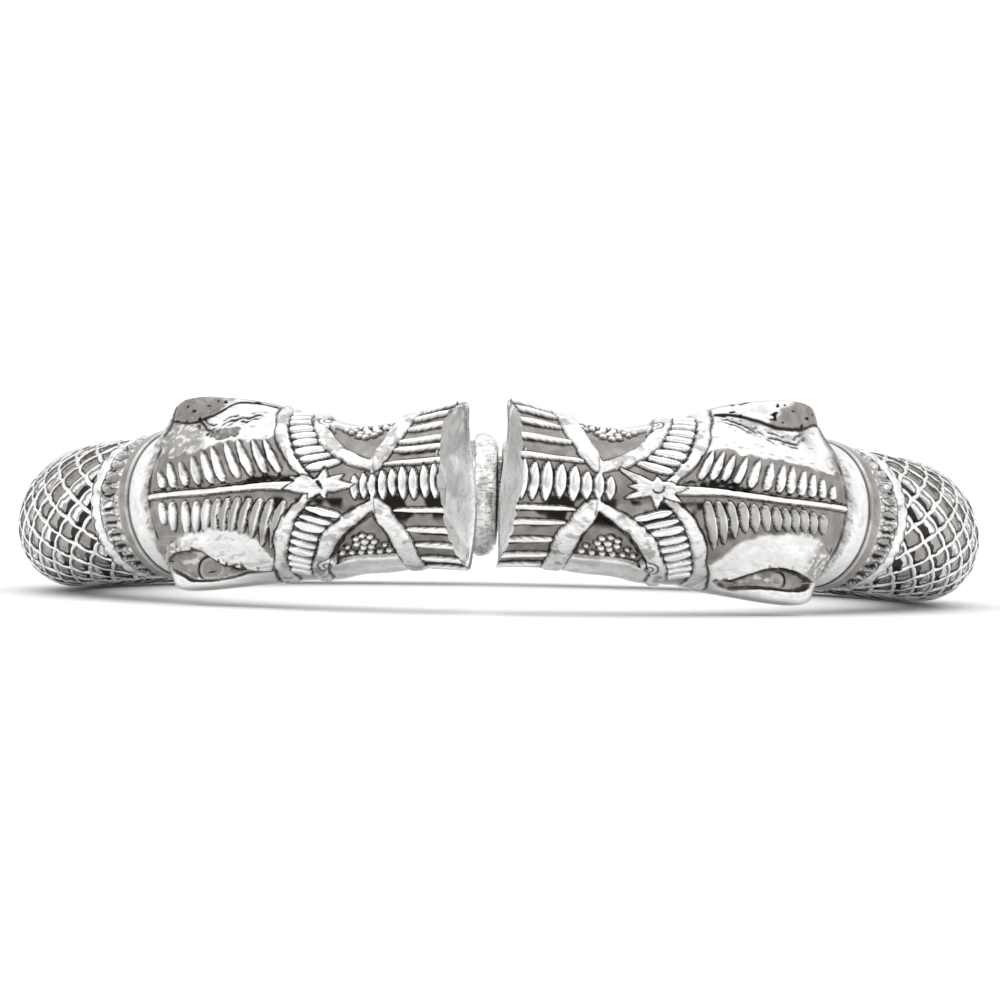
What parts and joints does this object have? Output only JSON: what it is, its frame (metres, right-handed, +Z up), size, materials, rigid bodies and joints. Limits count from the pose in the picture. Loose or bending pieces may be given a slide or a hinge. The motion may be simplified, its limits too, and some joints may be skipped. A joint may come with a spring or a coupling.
{
  "type": "hinged bangle",
  "caption": "Silver bangle of two hinged arms covered in scales, whose beast-head ends face each other across a narrow gap.",
  "frame": {"origin": "on the surface that the bangle lies on, in the middle of its outline", "axes": "+Z up, along the wrist; -Y towards the gap between the two heads; +X to the right as the heads are seen"},
  "size_m": [0.08, 0.0849, 0.0169],
  "materials": {
    "silver": "polished cast silver, darker in the recesses",
    "pin_silver": "plain drawn silver wire"
  },
  "bodies": {
    "left_side": {"left_arm": "silver", "hinge_pin": "pin_silver"},
    "right_side": {"right_arm": "silver"}
  },
  "joints": [
    {"name": "back_hinge", "type": "hinge", "parent": "left_side", "child": "right_side", "pos_m": [0, 0.04103, 0.00802], "axis": [0, 0, 1], "range_deg": [0, 45]}
  ]
}
